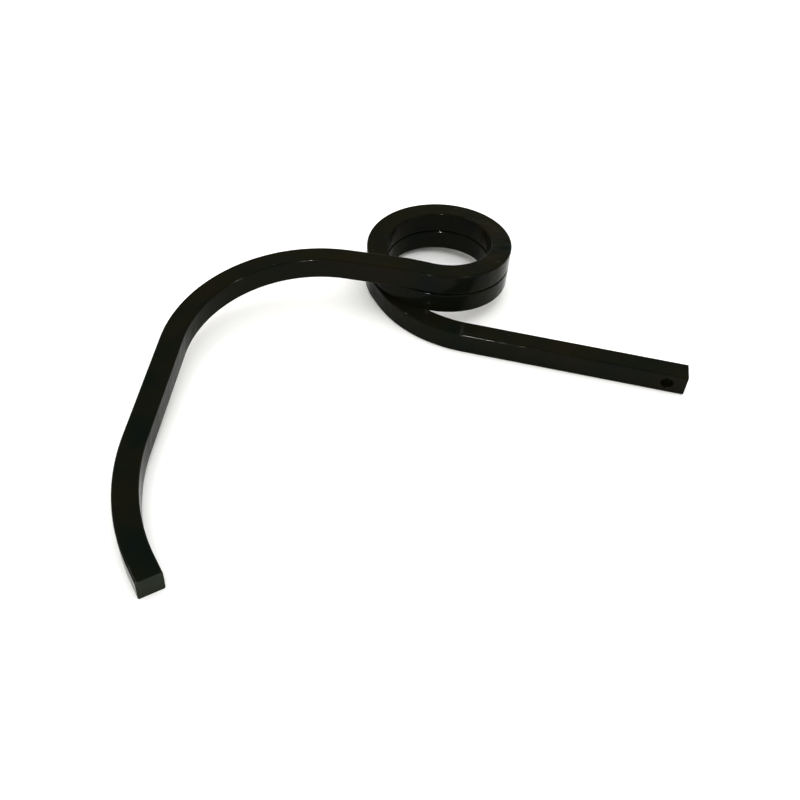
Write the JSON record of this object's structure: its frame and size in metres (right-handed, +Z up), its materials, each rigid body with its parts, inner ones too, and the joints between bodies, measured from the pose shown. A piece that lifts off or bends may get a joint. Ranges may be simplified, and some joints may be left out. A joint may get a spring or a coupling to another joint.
{
  "type": "cultivator spring tine",
  "caption": "Square-bar spring tine for a cultivator: straight drilled shank, close-wound coil and a long arm that arches over and hooks forward to a square-cut tip.",
  "frame": {"origin": "centre of the bolt hole through the shank", "axes": "+X along the shank to its cut end; +Y along the bolt hole, away from the tip's side; +Z up along the coil's axis with the tine lying on its side"},
  "size_m": [0.5664, 0.6134, 0.0744],
  "materials": {
    "black_paint": "glossy black paint over hot-rolled spring steel"
  },
  "bodies": {
    "root": {"tine": "black_paint"}
  },
  "joints": []
}
